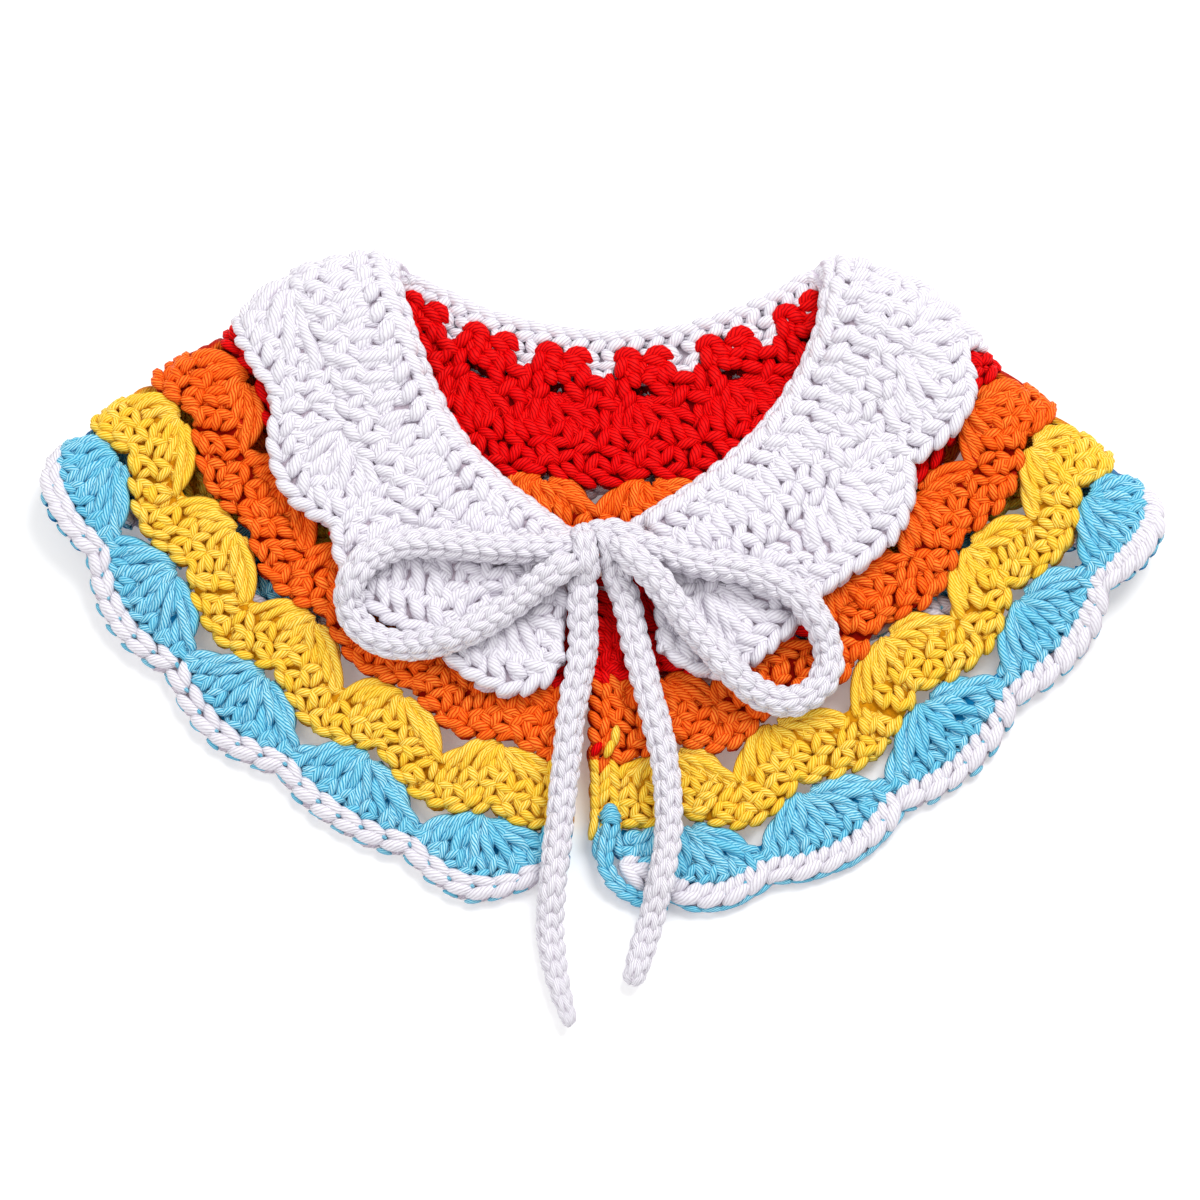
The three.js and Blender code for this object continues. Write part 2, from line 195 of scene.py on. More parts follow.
def cape_place(fan, depth):
    """Middle of the cloth, in millimetres."""
    shares = (
        (depth - MIDDLE_DEPTH) * (depth - 1) / MIDDLE_DEPTH,
        depth * (1 - depth) / (MIDDLE_DEPTH * (1 - MIDDLE_DEPTH)),
        depth * (depth - MIDDLE_DEPTH) / (1 - MIDDLE_DEPTH),
    )
    x, y = (
        sum(share * smooth(FANS, section_table[:, column + 2 * k], fan) for k, share in enumerate(shares))
        for column in (1, 2)
    )
    return np.stack([x, y, cape_height(fan, depth)], -1)


def cape_outward(fan, depth):
    return facing(cape_place, fan, depth, 0.05, 0.04)


def on_cape(fan, depth, out):
    """A point of the yarn out millimetres outwards of the cloth's middle, and the way out there."""
    outward = cape_outward(fan, depth)
    return cape_place(fan, depth) + outward * out[..., None], outward


# Where the colours change, as (depth where a shell of the next colour starts, depth halfway
# between shells), and the openings that are left at the foot of a shell and in its corners
EDGES = {
    "neck": (0.0, 0.0),
    "white": (0.078, 0.078),
    "red": (0.400, 0.435),
    "orange": (0.585, 0.632),
    "yellow": (0.765, 0.822),
    "blue": (0.945, 0.905),
    "hem": (1.000, 0.957),
}
ROW_GAP = 0.3
FOOT_HOLE = 3.0
CORNER_HOLE = 4.6
# How far from the front edges, in fans, the openings start, and how soon they have their size
FRONT_CLOSED, FRONT_EASE = 0.3, 0.15
# The red band reaches further at the right shoulder, where it is pulled over the fold, and less
# far at the right front edge: fan, how wide, how much further
RED_REACHES = ((13.5, 0.5, 0.03), (18.6, 0.3, -0.062))


def between_shells(fan):
    return np.abs(np.sin(np.pi * fan))


def near(fan, middle, width):
    """1 at the middle, and fading to 0 on both sides of it."""
    return np.exp(-(((fan - middle) / width) ** 2))


def outer_edge(edge, fan):
    """Round where the edge reaches furthest out, and a sharp notch where it falls back."""
    valley, scallop = EDGES[edge]
    away = between_shells(fan)
    share = away ** 0.8 if scallop >= valley else 1 - (1 - away ** 2) ** 0.4
    depth = valley + (scallop - valley) * share
    if edge == "red":
        depth = depth + sum(more * near(fan, middle, width) for middle, width, more in RED_REACHES)
    return depth


def inner_edge(edge, fan):
    away = between_shells(fan)
    valley, scallop = EDGES[edge]
    opening = FOOT_HOLE * (1 - away) ** 3 + CORNER_HOLE * away ** 10
    from_front = np.minimum(fan - FIRST_FAN, LAST_FAN - fan)
    opening = opening * np.clip((from_front - FRONT_CLOSED) / FRONT_EASE, 0, 1)
    return outer_edge(edge, fan) + (ROW_GAP + opening * (scallop > valley)) / CAPE_DEPTH


def band_surface(inner, outer):
    """The surface of a band: a point at a fan, a row from 0 inside to 1 outside, and millimetres out."""
    def surface(fan, row, out):
        start = inner_edge(inner, fan)
        return on_cape(fan, start + (outer_edge(outer, fan) - start) * row, out)

    return surface


SHELLS = np.arange(1, 19)
LEFT_FOLD, RIGHT_FOLD = 5.5, 13.5
UNDERNEATH = (SHELLS > LEFT_FOLD) & (SHELLS < RIGHT_FOLD)
FACES_SEEN = np.where(UNDERNEATH, -1, 1)


Patch = namedtuple("Patch", "surface shells face fine")


def patches(surface):
    """The faces of a band to cover with stitches, which are fine where they are seen."""
    near_fold = (np.abs(SHELLS - LEFT_FOLD) < 1) | (np.abs(SHELLS - RIGHT_FOLD) < 1)
    seen_outside, seen_inside = ~UNDERNEATH | near_fold, UNDERNEATH | near_fold
    return (
        Patch(surface, SHELLS[seen_outside], 1, True),
        Patch(surface, SHELLS[seen_inside], -1, True),
        Patch(surface, SHELLS[~seen_outside], 1, False),
        Patch(surface, SHELLS[~seen_inside], -1, False),
    )


# Neck band.
# White cotton yarn. The foundation chain and the first short row, which the red band and the
# collar are both worked into. A strand of yarn is a tube, narrower where it dives under another.
chance = np.random.default_rng(1864)
# Rings and sides of a strand
SEEN_STRAND = (6, 6)
HIDDEN_STRAND = (4, 4)
END_DIVE = 0.25
END_THICKNESS = 0.42
LOOSE_BOW = 0.22
# What brings the middle of the cape's outline to the origin
MIDDLE = np.array([-0.57, 2.79, 0.04])


def jitter(count, much):
    return chance.uniform(-much, much, count)


def beside_and_above(centres, up):
    """The ways across a line of centres, and up from it."""
    along = unit(np.gradient(centres, axis=-2))
    across = unit(np.cross(along, up))
    return across, np.cross(across, along)


def way_along(line):
    """How far along a line each of its points is."""
    steps = np.linalg.norm(np.diff(line, axis=-2), axis=-1)
    return np.concatenate([np.zeros((*steps.shape[:-1], 1)), np.cumsum(steps, axis=-1)], -1)


def strand(centres, radii, up, sides):
    """Tubes along lines of centres (n, rings, 3), millimetres: points, and the way along each."""
    across, top = beside_and_above(centres, up)
    turn = np.arange(sides) * 2 * np.pi / sides
    ring = np.cos(turn)[:, None] * across[:, :, None] + np.sin(turn)[:, None] * top[:, :, None]
    points = centres[:, :, None] + radii[..., None, None] * ring
    return points, way_along(centres) + chance.uniform(0, 40, (len(centres), 1))


def tapered(hump, power=0.6):
    """How thick a strand is where it rises by hump, from 0 at its ends to 1 in its middle."""
    return END_THICKNESS + (1 - END_THICKNESS) * np.maximum(hump, 0) ** power


def lobes(surface, fan, row, across, down, angle, length, radius, out, face=1, rise=0.9, bow=0.0, fine=True):
    """Short strands on a surface, each at a fan and row and millimetres across and down from there.

    The angle is in degrees from the way down, towards the next shell. A strand rises in its middle.
    """
    fan, row, across, down, angle, length, radius, out, rise, bow = np.broadcast_arrays(
        *[np.asarray(v, float) for v in (fan, row, across, down, angle, length, radius, out, rise, bow)]
    )
    n = len(fan)
    bow = bow + jitter(n, LOOSE_BOW)
    step = 0.02
    flat = np.zeros(n)
    per_fan = (surface(fan + step, row, flat)[0] - surface(fan - step, row, flat)[0]) / (2 * step)
    per_row = (surface(fan, row + step, flat)[0] - surface(fan, row - step, flat)[0]) / (2 * step)
    along_way = unit(per_fan)
    down_way = unit(per_row - (per_row * along_way).sum(-1, keepdims=True) * along_way)
    turn = np.radians(angle)[:, None]
    way = np.cos(turn) * down_way + np.sin(turn) * along_way
    beside = np.cos(turn) * along_way - np.sin(turn) * down_way
    rings, sides = SEEN_STRAND if fine else HIDDEN_STRAND
    t = np.linspace(0, 1, rings)
    hump = np.sin(np.pi * t)
    offset = (across[:, None] * along_way + down[:, None] * down_way)[:, None]
    offset = offset + (t - 0.5)[None, :, None] * (length[:, None] * way)[:, None]
    offset = offset + hump[None, :, None] * (bow[:, None] * beside)[:, None]
    fan_fan, fan_row, row_row = [(a * b).sum(-1)[:, None] for a, b in
                                 ((per_fan, per_fan), (per_fan, per_row), (per_row, per_row))]
    by_fan = (offset * per_fan[:, None]).sum(-1)
    by_row = (offset * per_row[:, None]).sum(-1)
    whole = fan_fan * row_row - fan_row ** 2
    fans = fan[:, None] + (by_fan * row_row - by_row * fan_row) / whole
    rows = row[:, None] + (by_row * fan_fan - by_fan * fan_row) / whole
    centres, outward = surface(fans, rows, face * (out[:, None] - END_DIVE + rise[:, None] * hump))
    # A strand's top, where its painted shade has faded out, is turned to the face that is seen
    return [strand(centres, radius[:, None] * tapered(hump), face * outward, sides)]


def fans_of(shells, per_shell, shift=0.0):
    """Even places along the given shells, between the two front edges."""
    fan = (shells[:, None] + (np.arange(per_shell) + 0.5 + shift) / per_shell - 0.5).reshape(-1)
    return fan[(fan > FIRST_FAN + 0.01) & (fan < LAST_FAN - 0.01)]


def edge_loops(patch, per_shell, row, angle, length, radius, out, across=0.0, shift=0.0, loose=6):
    """A row of loops lying along an edge, their angles loose by a few degrees."""
    surface, shells, face, fine = patch
    fan = fans_of(shells, per_shell, shift)
    n = len(fan)
    if n == 0:
        return []
    return lobes(surface, fan, row, across + jitter(n, 0.2), jitter(n, 0.2), angle + jitter(n, loose),
                 length * (1 + jitter(n, 0.06)), radius * (1 + jitter(n, 0.07)), out, face, fine=fine)


def four_corners(grid):
    """The corners of the faces between a grid's columns and rows, for each sheet or tube of the grid."""
    return np.stack([grid[:, :-1, :-1], grid[:, 1:, :-1], grid[:, 1:, 1:], grid[:, :-1, 1:]], 3)


def finished_piece(name, mesh, material):
    mesh.polygons.foreach_set("use_smooth", np.ones(len(mesh.polygons), bool))
    mesh.materials.append(material)
    piece = placed(name, mesh)
    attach(piece, "root")
    return piece


def yarn_mesh(name, bundles, material):
    """One mesh of many closed strands, with the way along the yarn and the turn around it as its UV."""
    corners, faces, totals, uvs, tones = [], [], [], [], []
    count = 0
    for points, length in bundles:
        n, rings, sides, _ = points.shape
        number = count + np.arange(n * rings * sides).reshape(n, rings, sides)
        count += number.size
        corners.append((points.reshape(-1, 3) + MIDDLE) * MM)
        tones.append(np.repeat(chance.uniform(0, 1, n), rings * sides))
        closed = np.concatenate([number, number[..., :1]], -1)
        ways_and_turns = np.stack(np.broadcast_arrays(length[..., None], np.arange(sides + 1) / sides), -1)
        faces.append(four_corners(closed).reshape(-1))
        totals.append(np.full(n * (rings - 1) * sides, 4))
        uvs.append(four_corners(ways_and_turns).reshape(-1, 2))
        for cap, at in ((number[:, 0], 0), (number[:, -1, ::-1], -1)):
            faces.append(cap.reshape(-1))
            totals.append(np.full(n, sides))
            uvs.append(np.stack([np.repeat(length[:, at], sides), np.tile(np.arange(sides) / sides, n)], -1))
    mesh = bpy.data.meshes.new(name)
    corners = np.concatenate(corners)
    corners[:, 2] = np.maximum(corners[:, 2], 0)
    faces = np.concatenate(faces)
    totals = np.concatenate(totals)
    mesh.vertices.add(len(corners))
    mesh.vertices.foreach_set("co", corners.reshape(-1))
    mesh.loops.add(len(faces))
    mesh.loops.foreach_set("vertex_index", faces.astype(np.int32))
    mesh.polygons.add(len(totals))
    starts = np.concatenate([[0], np.cumsum(totals)[:-1]])
    mesh.polygons.foreach_set("loop_start", starts.astype(np.int32))
    mesh.update(calc_edges=True)
    uv_map = mesh.uv_layers.new(name="yarn")
    uv_map.data.foreach_set("uv", np.concatenate(uvs).reshape(-1).astype(np.float32))
    # A random number for each strand, which sets how strong its painted highlight is
    tone = mesh.attributes.new("tone", "FLOAT", "POINT")
    tone.data.foreach_set("value", np.concatenate(tones).astype(np.float32))
    return finished_piece(name, mesh, material)


# Threads around a strand, turns of them in a millimetre, and how far they wander
THREADS = 9
TWIST = 0.8
WANDER = 1.1
# How far the side of a strand is turned up where its painted shade is full, and where it has faded out
SIDE_SHADE_FROM, SIDE_SHADE_TO = -0.55, 0.6


def plied_group():
    """Threads laid side by side around the yarn, lower between two of them, with painted shade in the grooves
    between them and down the yarn's sides, and a painted highlight on their crests.
    """
    group = bpy.data.node_groups.new("plied_yarn", "ShaderNodeTree")
    for name in ("Thread", "Groove", "Crest", "Valley"):
        group.interface.new_socket(name, in_out="INPUT", socket_type="NodeSocketColor")
    group.interface.new_socket("Color", in_out="OUTPUT", socket_type="NodeSocketColor")
    group.interface.new_socket("Height", in_out="OUTPUT", socket_type="NodeSocketFloat")
    nodes, links = group.nodes, group.links
    given = nodes.new("NodeGroupInput")
    result = nodes.new("NodeGroupOutput")

    def sum_of(operation, *values):
        node = nodes.new("ShaderNodeMath")
        node.operation = operation
        for socket, value in zip(node.inputs, values):
            if isinstance(value, (int, float)):
                socket.default_value = value
            else:
                links.new(value, socket)
        return node.outputs[0]

    uv = nodes.new("ShaderNodeUVMap")
    uv.uv_map = "yarn"
    parts = nodes.new("ShaderNodeSeparateXYZ")
    links.new(uv.outputs["UV"], parts.inputs[0])
    place = nodes.new("ShaderNodeTexCoord")
    wobble = nodes.new("ShaderNodeTexNoise")
    set_inputs(wobble, Scale=420, Detail=2)
    links.new(place.outputs["Object"], wobble.inputs["Vector"])
    around = sum_of("MULTIPLY", parts.outputs["Y"], THREADS)
    turns = sum_of("MULTIPLY_ADD", parts.outputs["X"], -TWIST, around)
    bent = sum_of("MULTIPLY_ADD", wobble.outputs["Fac"], WANDER, turns)
    wave = sum_of("ABSOLUTE", sum_of("SINE", sum_of("MULTIPLY", bent, math.pi)))
    thread = sum_of("POWER", wave, 0.55)
    links.new(thread, result.inputs["Height"])

    def mixed(factor, first, second):
        node = nodes.new("ShaderNodeMix")
        node.data_type = "RGBA"
        links.new(factor, node.inputs["Factor"])
        links.new(first, node.inputs["A"])
        links.new(second, node.inputs["B"])
        return node.outputs["Result"]

    tone = nodes.new("ShaderNodeAttribute")
    tone.attribute_name = "tone"
    # Painted shade in the grooves between the threads
    body = mixed(sum_of("POWER", thread, 1.4), given.outputs["Groove"], given.outputs["Thread"])
    # A painted highlight on the crests of the threads, stronger on some strands than on others
    lit = sum_of("MULTIPLY", sum_of("POWER", wave, 3), sum_of("MULTIPLY_ADD", tone.outputs["Fac"], 0.5, 0.25))
    threads = mixed(lit, body, given.outputs["Crest"])
    # Painted shade down the sides and underside of each strand, fading out towards its top
    up = sum_of("SINE", sum_of("MULTIPLY", parts.outputs["Y"], 2 * math.pi))
    turned = nodes.new("ShaderNodeMapRange")
    turned.interpolation_type = "SMOOTHSTEP"
    set_inputs(turned, From_Min=SIDE_SHADE_FROM, From_Max=SIDE_SHADE_TO)
    links.new(up, turned.inputs["Value"])
    links.new(mixed(turned.outputs["Result"], given.outputs["Valley"], threads), result.inputs["Color"])
    return group


plied_yarn = plied_group()


def linear(red, green, blue):
    """A colour as it is seen, 0 to 255, for a shader socket."""
    seen = np.array([red, green, blue]) / 255
    return (*np.where(seen < 0.04045, seen / 12.92, ((seen + 0.055) / 1.055) ** 2.4), 1)


def add_relief(finish, height, **values):
    nodes, links = finish.node_tree.nodes, finish.node_tree.links
    bump = nodes.new("ShaderNodeBump")
    set_inputs(bump, **values)
    links.new(height, bump.inputs["Height"])
    links.new(bump.outputs["Normal"], nodes["Principled BSDF"].inputs["Normal"])


# The yarn's own colour, then painted shade between its threads, a painted highlight on their crests, and painted
# shade down the sides of each strand
def yarn_finish(name, thread, groove_shade, highlight_colour, valley, gloss):
    finish, nodes, links, shader = new_finish(name)
    set_inputs(shader, Roughness=0.5, Specular_IOR_Level=gloss)
    pattern = nodes.new("ShaderNodeGroup")
    pattern.node_tree = plied_yarn
    set_inputs(pattern, Thread=linear(*thread), Groove=linear(*groove_shade), Crest=linear(*highlight_colour),
               Valley=linear(*valley))
    links.new(pattern.outputs["Color"], shader.inputs["Base Color"])
    add_relief(finish, pattern.outputs["Height"], Strength=0.8, Distance=0.00022)
    return finish


def backing_finish(name, colour):
    """The inner strands, seen only between the outer ones, in a dark colour that is painted shade, flecked at
    random.
    """
    finish, nodes, links, shader = new_finish(name)
    set_inputs(shader, Roughness=0.85, Specular_IOR_Level=0.05)
    place = nodes.new("ShaderNodeTexCoord")
    fibre = nodes.new("ShaderNodeTexNoise")
    set_inputs(fibre, Scale=900)
    links.new(place.outputs["Object"], fibre.inputs["Vector"])
    shade = nodes.new("ShaderNodeMix")
    shade.data_type = "RGBA"
    set_inputs(shade, A=linear(*[0.72 * c for c in colour]), B=linear(*colour))
    links.new(fibre.outputs["Fac"], shade.inputs["Factor"])
    links.new(shade.outputs["Result"], shader.inputs["Base Color"])
    add_relief(finish, fibre.outputs["Fac"], Distance=0.0004)
    return finish


def rim(grid):
    return np.concatenate([grid[:, 0], grid[-1, 1:], grid[-2::-1, -1], grid[0, -2:0:-1]])


def backing(name, surface, columns, rows, thickness, material):
    """A closed cloth under the outer strands. Its columns and rows are given as first, last, how many."""
    fan, row = np.meshgrid(np.linspace(*columns), np.linspace(*rows), indexing="ij")
    sides = [surface(fan, row, np.full_like(fan, way * thickness / 2))[0] for way in (1, -1)]
    points = (np.concatenate([side.reshape(-1, 3) for side in sides]) + MIDDLE) * MM
    n, m = fan.shape
    front, back = np.arange(2 * n * m).reshape(2, n, m)
    rim_front, rim_back = rim(front), rim(back)
    walls = [
        four_corners(front[None]).reshape(-1, 4),
        four_corners(back[None])[..., [0, 3, 2, 1]].reshape(-1, 4),
        np.stack([rim_front, rim_back, np.roll(rim_back, -1), np.roll(rim_front, -1)], -1),
    ]
    mesh = bpy.data.meshes.new(name)
    mesh.from_pydata(points.tolist(), [], np.concatenate(walls).tolist())
    return finished_piece(name, mesh, material)


def cloth_columns(per_shell):
    return FIRST_FAN, LAST_FAN, int((LAST_FAN - FIRST_FAN) * per_shell) + 1


# For each yarn: its own colour, painted shade in its grooves, a painted highlight, and painted shade down its sides.
# A backing's darker colour is painted shade in the gaps between strands.
white_yarn = yarn_finish("white_yarn", (233, 230, 238), (220, 213, 224), (247, 245, 250), (206, 194, 208), 0.2)
white_shade_backing = backing_finish("white_shade_backing", (206, 190, 203))
NECK_ROWS = (
    # row, angle, length, radius, out, loose, shift
    (0.05, 74, 6.6, 1.7, 1.8, 8, 0),
    (0.42, -58, 5.4, 1.75, 1.6, 18, 0.4),
    (0.80, 56, 5.2, 1.7, 1.2, 24, 0),
    (1.16, -74, 6.2, 1.5, 0.7, 14, 0),
)
surface = band_surface("neck", "white")
neck_cloth = backing("neck_cloth", surface, cloth_columns(10), (0.3, 1.9, 5), 1.2, white_shade_backing)
strands = []
for patch in patches(surface):
    for row, angle, length, radius, out, loose, shift in NECK_ROWS:
        strands += edge_loops(patch, 4, row, angle, length, radius, out, shift=shift, loose=loose)
    for across, angle in ((-2.2, 34), (2.2, -30), (0.0, 70)):
        strands += edge_loops(patch, 1, 1.55, angle, 4.8, 1.5, 0.3, across=across, shift=0.5, loose=12)
neck_stitches = yarn_mesh("neck_stitches", strands, white_yarn)
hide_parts("neck_band")

# Red band.
# Red cotton yarn, thicker looking because it is worked loosely. A row of clusters hangs from the
# neck band, a shell of posts fans out from each small opening, and two short rows close it.

# How far the two strands of a pair lie from their middle, across and up, in radii
PLY_ACROSS, PLY_UP = 0.82, 0.6
# A post is thinner at its foot and at its tip
POST_ALONG = (0, 0.35, 0.88, 1)
POST_THICKNESS = (0.72, 1, 1, 0.7)
# The share of short stitches whose two legs lie side by side. The legs of the others make a V.
SIDE_BY_SIDE = 0.3


def posts(surface, shells, faces, ends, end_rows, foot_row, foot_width, radius, turns, dome, rings=12):
    """Pairs of strands twisted together, from the foot of each shell out to (ends, end_rows).

    They are domed towards the face of their shell that is seen: 1 the outside, -1 the inside.
    """
    shell = np.repeat(shells, len(ends)).astype(float)
    end = np.tile(ends, len(shells))
    end_row = np.tile(end_rows, len(shells))
    n = len(end)
    outer = np.abs(end) / 0.5
    t = np.linspace(0, 1, rings)
    foot = np.stack([shell + end * foot_width, np.full(n, foot_row)], -1)
    tip = np.stack([shell + end + jitter(n, 0.01), end_row + jitter(n, 0.015)], -1)
    reach = np.stack([0.5 + 0.45 * outer, 0.5 - 0.42 * outer], -1)
    bend = foot + (tip - foot) * reach
    shares = ((foot, (1 - t) ** 2), (bend, 2 * t * (1 - t)), (tip, t ** 2))
    line = sum(point[:, None] * share[:, None] for point, share in shares)
    seen = np.repeat(faces, len(ends))
    out = dome * np.sin(np.pi * t) * (seen * (1 - 0.5 * outer ** 2))[:, None]
    centres, outward = surface(line[..., 0], line[..., 1], out)
    across, top = beside_and_above(centres, outward)
    width = radius * np.interp(t, POST_ALONG, POST_THICKNESS) * (1 + jitter(n, 0.06))[:, None]
    start = chance.uniform(0, np.pi, n)[:, None]
    turning = (turns * (1 + jitter(n, 0.15)))[:, None] * 2 * np.pi * t
    made = []
    for half in (0, np.pi):
        angle = start + half + turning
        shift = PLY_ACROSS * np.cos(angle)[..., None] * across + PLY_UP * np.sin(angle)[..., None] * top
        # The top of each strand, where its painted shade has faded out, is turned to the face that is seen
        made.append(strand(centres + shift * width[..., None], width, outward * seen[:, None, None],
                           SEEN_STRAND[1]))
    return made


def on_shells(patch, end, row, across, down, angle, length, radius, out, **shape):
    """A strand on each shell of a patch, its middle that share of a shell beside the shell's middle."""
    surface, shells, face, fine = patch
    return lobes(surface, shells + end, row, across, down, angle, length, radius, out, face, fine=fine, **shape)


def underlay(patch, per_shell, rows, radius, length):
    """Inner strands under the stitches of a patch, which close the gaps between them."""
    surface, shells, face, _ = patch
    made = []
    for k, row in enumerate(rows):
        fan = fans_of(shells, per_shell, 0.5 * (k % 2))
        n = len(fan)
        lean = (-1) ** k * 38 + jitter(n, 16)
        made += lobes(surface, fan, row, jitter(n, 0.4), jitter(n, 0.4), lean, length, radius, 0.1, face,
                      rise=0.3, fine=False)
    return made


def short_stitches(patch, per_shell, row, width, height, radius, out, shift=0.0):
    """A row of short stitches: two legs side by side and the loop on top, no two alike."""
    surface, shells, face, fine = patch
    fan = fans_of(shells, per_shell, shift)
    n = len(fan)
    if n == 0:
        return []
    mirror = chance.choice([-1, 1], n)
    lean = np.where(chance.uniform(0, 1, n) < SIDE_BY_SIDE, 1, -1)

    def place(across, down):
        return across * width + jitter(n, 0.35), down * height + jitter(n, 0.35)

    parts = (
        (place(-0.25, -0.08), 31 * lean + jitter(n, 12), 1.08 * height, 0.0),
        (place(0.25, 0.0), 30 + jitter(n, 12), 1.08 * height, 0.15),
        (place(0.02, 0.46), mirror * (74 + jitter(n, 12)), 0.9 * width, 0.35),
    )
    made = []
    for at, angle, length, lift in parts:
        made += lobes(surface, fan, row, *at, angle, length, radius * (1 + jitter(n, 0.09)), out + lift, face,
                      fine=fine)
    return made


def front_edges(surface, low, high, count, radius):
    """Turning chains up the two front edges of a band, with the first stitches beside them."""
    made = []
    for edge, way in ((FIRST_FAN, 1), (LAST_FAN, -1)):
        for face in (1, -1):
            for column, across in enumerate((1.0, 3.6, 6.2)):
                row = np.linspace(low, high, count) + (column % 2) * 0.5 * (high - low) / count
                lean = (18, -24, 30)[column] + jitter(count, 10)
                made += lobes(surface, edge, row, way * across + jitter(count, 0.2),
                              jitter(count, 0.3), way * lean, 5.2, radius * (1 + jitter(count, 0.08)), 0.8, face)
    return made


# As for the white yarn, all but the first colour are painted shade and highlight, and the backing's colour is
# painted shade
red_yarn = yarn_finish("red_yarn", (238, 0, 8), (165, 0, 6), (252, 24, 18), (118, 0, 8), 0.06)
red_shade_backing = backing_finish("red_shade_backing", (130, 0, 6))
surface = band_surface("white", "red")
red_cloth = backing("red_cloth", surface, cloth_columns(12), (0.3, 0.97, 8), 1.0, red_shade_backing)
# Where the posts of a shell end: how far from its middle, and in which row
RED_ENDS = (-0.45, -0.3, -0.1, 0.1, 0.3, 0.45)
RED_END_ROWS = (0.55, 0.63, 0.66, 0.66, 0.63, 0.55)
strands = posts(surface, SHELLS, FACES_SEEN, RED_ENDS, RED_END_ROWS, 0.33, 0.2, 1.5, 0.8, 0.5)
CLUSTER_ROW = 0.135
CLUSTER = (
    # across, down, angle, length: two arches, then the sides of the opening below them
    (-5.1, -2.4, -18, 6.0), (-1.4, -2.6, 34, 5.8), (3.8, -3.6, 72, 6.6), (7.0, -0.8, 20, 5.0), (2.9, -0.8, 75, 4.6),
    (5.5, 0.4, 15, 4.6), (-7.8, 2.0, -5, 7.2), (-4.1, 2.6, 5, 5.6), (-1.3, 1.2, 28, 4.0), (1.4, 1.4, 66, 3.6),
    (4.6, 3.6, 58, 6.2), (9.7, 1.4, 84, 6.2), (-9.0, 6.6, 64, 6.0), (8.4, 5.2, -40, 6.0), (-3.2, 5.4, -38, 4.6),
)
CLUSTER_TOPS = ((-3.3, -4.0, 86, 7.4), (4.6, -4.0, 82, 7.2))
# Strands behind the two arches, which close the gaps in and between them
CLUSTER_FILL = ((0.8, -1.9, -8, 5.6), (-3.2, -1.2, 12, 4.6), (4.6, -2.2, 4, 4.4))
# Strands that fill the corners between a cluster and the next one: end, row, angle
RED_CORNERS = (
    (-0.42, 0.25, 30), (-0.27, 0.19, -30), (-0.3, 0.33, 20), (0.42, 0.25, -30), (0.27, 0.19, 30),
    (0.3, 0.33, -20), (0.0, 0.36, 60),
)
for patch in patches(surface):
    n = len(patch.shells)
    for across, down, angle, length in CLUSTER:
        strands += on_shells(patch, 0, CLUSTER_ROW, across + jitter(n, 0.4), down + jitter(n, 0.4),
                             angle + jitter(n, 9), length, 1.85, 2.1 if down < 1.5 else 1.3, rise=0.8)
    for across, down, angle, length in CLUSTER_TOPS:
        strands += on_shells(patch, 0, CLUSTER_ROW, across + jitter(n, 0.3), down, angle, length, 1.95, 2.3,
                             bow=1.7)
    for across, down, angle, length in CLUSTER_FILL:
        strands += on_shells(patch, 0, CLUSTER_ROW, across, down, angle + jitter(n, 6), length, 1.75, 1.0)
    for end, row, angle in RED_CORNERS:
        strands += on_shells(patch, end, row, jitter(n, 0.4), jitter(n, 0.4), angle + jitter(n, 9), 6.0,
                             1.6, 0.2, rise=0.4)
    strands += short_stitches(patch, 4, 0.64, 6.0, 6.4, 1.6, 0.9)
    strands += short_stitches(patch, 4, 0.84, 6.0, 5.6, 1.6, 0.9, shift=0.5)
    strands += edge_loops(patch, 4, 0.98, 74, 6.6, 1.5, 0.8)
    if patch.fine:
        strands += underlay(patch, 6, (0.38, 0.52, 0.66, 0.8, 0.93), 1.5, 6.0)
strands += front_edges(surface, 0.05, 0.97, 8, 1.45)
# One red loop that shows through at the right front edge, below the band
strands += lobes(on_cape, [LAST_FAN], 0.60, -1.6, 0, 40, 3.8, 1.2, 2.4)
# Red stitches that close the corner beside the right front scallop of the collar
strands += lobes(on_cape, [16.46, 16.54, 16.62], 0.465, 0, [-1.2, 0.2, -0.6], [24, -30, 38], 5.4, 1.6, 0.3)
red_stitches = yarn_mesh("red_stitches", strands, red_yarn)
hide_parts("red_band")

# Orange band.
# Orange cotton yarn. A shell of posts in each valley of the red band, then short stitches that
# end in a scallop between every two shells.
# As for the white yarn, all but the first colour are painted shade and highlight, and the backing's colour is
# painted shade
orange_yarn = yarn_finish("orange_yarn", (255, 98, 4), (220, 48, 0), (255, 158, 62), (178, 26, 0), 0.1)
orange_shade_backing = backing_finish("orange_shade_backing", (160, 14, 0))
SHELL_ENDS = (-0.47, -0.36, -0.22, -0.07, 0.07, 0.22, 0.36, 0.47)
SHELL_END_ROWS = (0.26, 0.36, 0.43, 0.46, 0.46, 0.43, 0.36, 0.26)


def shell_and_rows(surface, radius, per_shell, width):
    """A band of one shell of posts and the short rows outside it."""
    made = posts(surface, SHELLS, FACES_SEEN, SHELL_ENDS, SHELL_END_ROWS, 0.03, 0.14, 0.94 * radius, 0.7, 0.6)
    for patch in patches(surface):
        made += short_stitches(patch, per_shell, 0.50, width, 4.6, radius, 1.0)
        made += short_stitches(patch, per_shell, 0.74, width, 4.4, radius, 1.0, shift=0.5)
        made += edge_loops(patch, per_shell, 0.95, 74, 5.2, 0.98 * radius, 0.9)
        if patch.fine:
            made += underlay(patch, per_shell + 2, (0.3, 0.5, 0.7, 0.88), 1.15 * radius, 4.8)
    return made + front_edges(surface, 0.1, 0.95, 5, radius)


